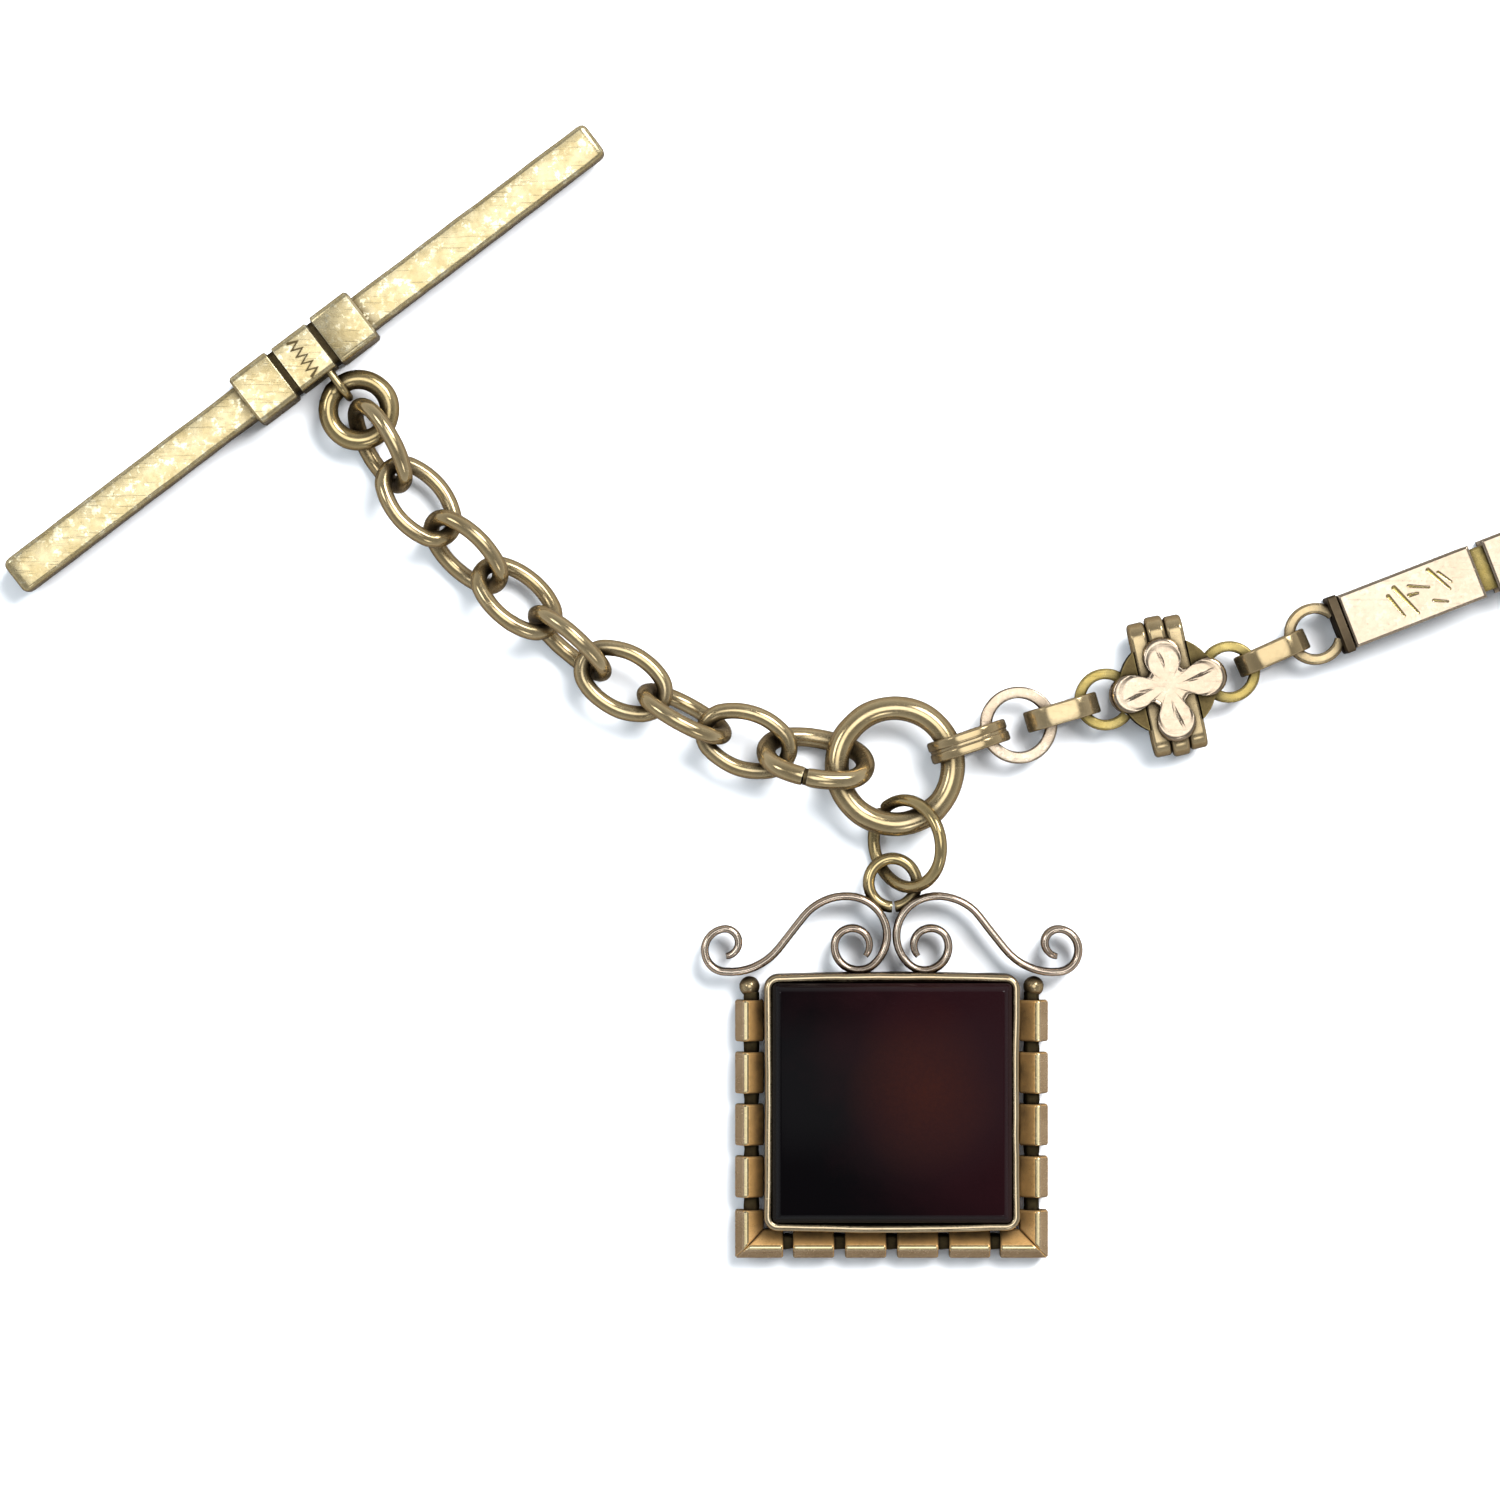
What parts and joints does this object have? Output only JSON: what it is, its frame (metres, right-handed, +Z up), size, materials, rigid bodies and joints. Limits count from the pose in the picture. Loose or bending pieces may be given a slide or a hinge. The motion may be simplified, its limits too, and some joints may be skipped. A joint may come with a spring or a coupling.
{
  "type": "pocket watch chain",
  "caption": "Gilt watch chain with a T-bar on oval links, a framed square stone fob on a jump ring, and engraved bars and flower beads ending in a swivel clip",
  "frame": {"origin": "the middle of the centre ring, projected onto the table the chain lies on", "axes": "+Z up from the table; +X along the table from the T-bar side towards the swivel side; +Y away from the fob"},
  "size_m": [0.1159, 0.0564, 0.0037],
  "materials": {
    "link_gold": "polished, worn, dark in the corners",
    "bar_gold": "worn satin, pitted",
    "ring_gold": "polished, worn",
    "border_gold": "polished facets, dark in the recesses",
    "bezel_gold": "polished",
    "strap_gold": "polished, worn",
    "rose_gold": "polished, engraved",
    "yellow_gold": "polished",
    "spring_metal": "satin",
    "gem": "polished"
  },
  "bodies": {
    "centre_ring": {"centre_ring": "link_gold"},
    "split_link": {"split_link": "link_gold"},
    "link_8": {"link_8": "link_gold"},
    "link_7": {"link_7": "link_gold"},
    "link_6": {"link_6": "link_gold"},
    "link_5": {"link_5": "link_gold"},
    "link_4": {"link_4": "link_gold"},
    "link_3": {"link_3": "link_gold"},
    "link_2": {"link_2": "link_gold"},
    "link_1": {"link_1": "link_gold"},
    "t_bar_ring": {"t_bar_ring": "ring_gold"},
    "t_bar": {"t_bar": "bar_gold", "t_bar_sleeve": "bar_gold", "t_bar_staple": "ring_gold"},
    "fob_jump_ring": {"fob_jump_ring": "ring_gold"},
    "fob": {"fob_bail": "ring_gold", "fob_scroll_left": "border_gold", "fob_scroll_right": "border_gold", "fob_border_left": "border_gold", "fob_border_right": "border_gold", "fob_border_bottom": "border_gold", "fob_bezel": "bezel_gold", "fob_stone": "gem", "fob_back": "bezel_gold"},
    "double_strap_link": {"double_strap_link": "strap_gold"},
    "washer_ring": {"washer_ring": "rose_gold"},
    "strap_link_1": {"strap_link_1": "strap_gold"},
    "bead_1": {"bead_1_drum": "strap_gold", "bead_1_hoop": "strap_gold", "bead_1_flowers": "rose_gold", "bead_1_rings": "yellow_gold"},
    "strap_link_2": {"strap_link_2": "strap_gold"},
    "bar_1": {"bar_1_core": "yellow_gold", "bar_1_plates": "rose_gold", "bar_1_caps": "border_gold", "bar_1_rings": "yellow_gold"},
    "strap_link_3": {"strap_link_3": "strap_gold"},
    "bead_2": {"bead_2_drum": "strap_gold", "bead_2_hoop": "strap_gold", "bead_2_flowers": "rose_gold", "bead_2_rings": "yellow_gold"},
    "strap_link_4": {"strap_link_4": "strap_gold"},
    "bar_2": {"bar_2_core": "yellow_gold", "bar_2_plates": "rose_gold", "bar_2_caps": "border_gold", "bar_2_rings": "yellow_gold"},
    "strap_link_5": {"strap_link_5": "strap_gold"},
    "bead_3": {"bead_3_drum": "strap_gold", "bead_3_hoop": "strap_gold", "bead_3_flowers": "rose_gold", "bead_3_rings": "yellow_gold"},
    "strap_link_6": {"strap_link_6": "strap_gold"},
    "swivel_eye": {"swivel_eye": "link_gold"},
    "swivel_hook": {"swivel_post": "link_gold", "swivel_hook": "link_gold", "swivel_gate_pin": "link_gold", "swivel_gate_spring": "spring_metal"},
    "swivel_gate": {"swivel_gate": "link_gold"}
  },
  "joints": [
    {"name": "split_link_swing", "type": "hinge", "parent": "centre_ring", "child": "split_link", "pos_m": [0, 0, 0.0018], "axis": [0, 0, 1], "range_deg": [-14, 14]},
    {"name": "link_8_swing", "type": "hinge", "parent": "split_link", "child": "link_8", "pos_m": [-0.00585, 0.00068, 0.00189], "axis": [0, 0, -1], "range_deg": [-20, 12]},
    {"name": "link_7_swing", "type": "hinge", "parent": "link_8", "child": "link_7", "pos_m": [-0.009, 0.00176, 0.00183], "axis": [0, 0, 1], "range_deg": [-14, 34]},
    {"name": "link_6_swing", "type": "hinge", "parent": "link_7", "child": "link_6", "pos_m": [-0.01199, 0.0034, 0.0018], "axis": [0, 0, -1], "range_deg": [-16, 14]},
    {"name": "link_5_swing", "type": "hinge", "parent": "link_6", "child": "link_5", "pos_m": [-0.01496, 0.00498, 0.0018], "axis": [0, 0, 1], "range_deg": [-8, 30]},
    {"name": "link_4_swing", "type": "hinge", "parent": "link_5", "child": "link_4", "pos_m": [-0.01746, 0.00724, 0.00178], "axis": [0, 0, -1], "range_deg": [-18, 16]},
    {"name": "link_3_swing", "type": "hinge", "parent": "link_4", "child": "link_3", "pos_m": [-0.02011, 0.00944, 0.00172], "axis": [0, 0, 1], "range_deg": [-26, 22]},
    {"name": "link_2_swing", "type": "hinge", "parent": "link_3", "child": "link_2", "pos_m": [-0.02259, 0.01181, 0.0017], "axis": [0, 0, -1], "range_deg": [-22, 12]},
    {"name": "link_1_swing", "type": "hinge", "parent": "link_2", "child": "link_1", "pos_m": [-0.02481, 0.01442, 0.0017], "axis": [0, 0, 1], "range_deg": [-18, 34]},
    {"name": "t_bar_ring_swing", "type": "hinge", "parent": "link_1", "child": "t_bar_ring", "pos_m": [-0.02622, 0.01716, 0.0016], "axis": [0, 0, -1], "range_deg": [-34, 6]},
    {"name": "t_bar_swing", "type": "hinge", "parent": "t_bar_ring", "child": "t_bar", "pos_m": [-0.02666, 0.01771, 0.0015], "axis": [0, 0, 1], "range_deg": [-20, 24]},
    {"name": "fob_ring_swing", "type": "hinge", "parent": "centre_ring", "child": "fob_jump_ring", "pos_m": [0, 0, 0.0018], "axis": [0, 0, 1], "range_deg": [-20, 20]},
    {"name": "fob_swing", "type": "hinge", "parent": "fob_jump_ring", "child": "fob", "pos_m": [-0.0001, -0.0058, 0.0012], "axis": [0, 0, -1], "range_deg": [-16, 16]},
    {"name": "double_strap_swing", "type": "hinge", "parent": "centre_ring", "child": "double_strap_link", "pos_m": [0, 0, 0.0018], "axis": [0, 0, 1], "range_deg": [-24, 24]},
    {"name": "washer_swing", "type": "hinge", "parent": "double_strap_link", "child": "washer_ring", "pos_m": [0.00463, 0.00153, 0.0013], "axis": [0, 0, -1], "range_deg": [-15, 15]},
    {"name": "strap_1_swing", "type": "hinge", "parent": "washer_ring", "child": "strap_link_1", "pos_m": [0.00617, 0.00204, 0.0013], "axis": [0, 0, 1], "range_deg": [-30, 30]},
    {"name": "bead_1_swing", "type": "hinge", "parent": "strap_link_1", "child": "bead_1", "pos_m": [0.01049, 0.00331, 0.0013], "axis": [0, 0, -1], "range_deg": [-24, 24]},
    {"name": "strap_2_swing", "type": "hinge", "parent": "bead_1", "child": "strap_link_2", "pos_m": [0.01664, 0.00469, 0.0013], "axis": [0, 0, 1], "range_deg": [-24, 24]},
    {"name": "bar_1_swing", "type": "hinge", "parent": "strap_link_2", "child": "bar_1", "pos_m": [0.02094, 0.00658, 0.0013], "axis": [0, 0, -1], "range_deg": [-24, 24]},
    {"name": "strap_3_swing", "type": "hinge", "parent": "bar_1", "child": "strap_link_3", "pos_m": [0.03746, 0.01299, 0.0013], "axis": [0, 0, 1], "range_deg": [-24, 24]},
    {"name": "bead_2_swing", "type": "hinge", "parent": "strap_link_3", "child": "bead_2", "pos_m": [0.0418, 0.01183, 0.0013], "axis": [0, 0, -1], "range_deg": [-24, 24]},
    {"name": "strap_4_swing", "type": "hinge", "parent": "bead_2", "child": "strap_link_4", "pos_m": [0.04585, 0.007, 0.0013], "axis": [0, 0, 1], "range_deg": [-24, 24]},
    {"name": "bar_2_swing", "type": "hinge", "parent": "strap_link_4", "child": "bar_2", "pos_m": [0.04664, 0.00257, 0.0013], "axis": [0, 0, -1], "range_deg": [-24, 24]},
    {"name": "strap_5_swing", "type": "hinge", "parent": "bar_2", "child": "strap_link_5", "pos_m": [0.04664, -0.01515, 0.0013], "axis": [0, 0, 1], "range_deg": [-24, 24]},
    {"name": "bead_3_swing", "type": "hinge", "parent": "strap_link_5", "child": "bead_3", "pos_m": [0.04817, -0.01938, 0.0013], "axis": [0, 0, -1], "range_deg": [-24, 24]},
    {"name": "strap_6_swing", "type": "hinge", "parent": "bead_3", "child": "strap_link_6", "pos_m": [0.05438, -0.02048, 0.0013], "axis": [0, 0, 1], "range_deg": [-24, 24]},
    {"name": "swivel_swing", "type": "hinge", "parent": "strap_link_6", "child": "swivel_eye", "pos_m": [0.05828, -0.01823, 0.0013], "axis": [0, 0, -1], "range_deg": [-24, 24]},
    {"name": "swivel_spin", "type": "hinge", "parent": "swivel_eye", "child": "swivel_hook", "pos_m": [0.06028, -0.01476, 0.0015], "axis": [0.5, 0.866, 0], "continuous": true},
    {"name": "gate_swing", "type": "hinge", "parent": "swivel_hook", "child": "swivel_gate", "pos_m": [0.06549, -0.01292, 0.0015], "axis": [0, 0, 1], "range_deg": [0, 35], "stiffness_Nm_per_rad": 0.002}
  ]
}
